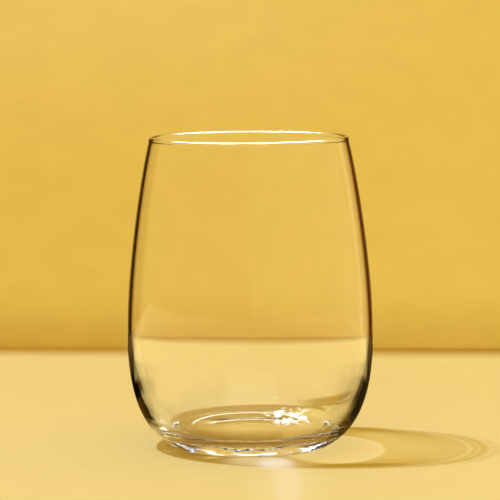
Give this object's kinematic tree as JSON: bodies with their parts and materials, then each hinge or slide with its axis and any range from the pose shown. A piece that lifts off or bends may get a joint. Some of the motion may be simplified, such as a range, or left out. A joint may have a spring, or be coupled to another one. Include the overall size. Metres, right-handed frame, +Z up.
{
  "type": "stemless wine glass",
  "caption": "Clear egg-shaped stemless wine glass with a thick rounded base, a shallow hollow under the foot and a rounded bead at the rim.",
  "frame": {"origin": "centre of the foot, on the surface that the glass stands on", "axes": "+Z up the glass's own axis, out of its mouth; the glass is round, so X and Y are alike"},
  "size_m": [0.093, 0.093, 0.117],
  "materials": {
    "clear_glass": "clear polished soda-lime glass"
  },
  "bodies": {
    "root": {"glass_body": "clear_glass"}
  },
  "joints": []
}
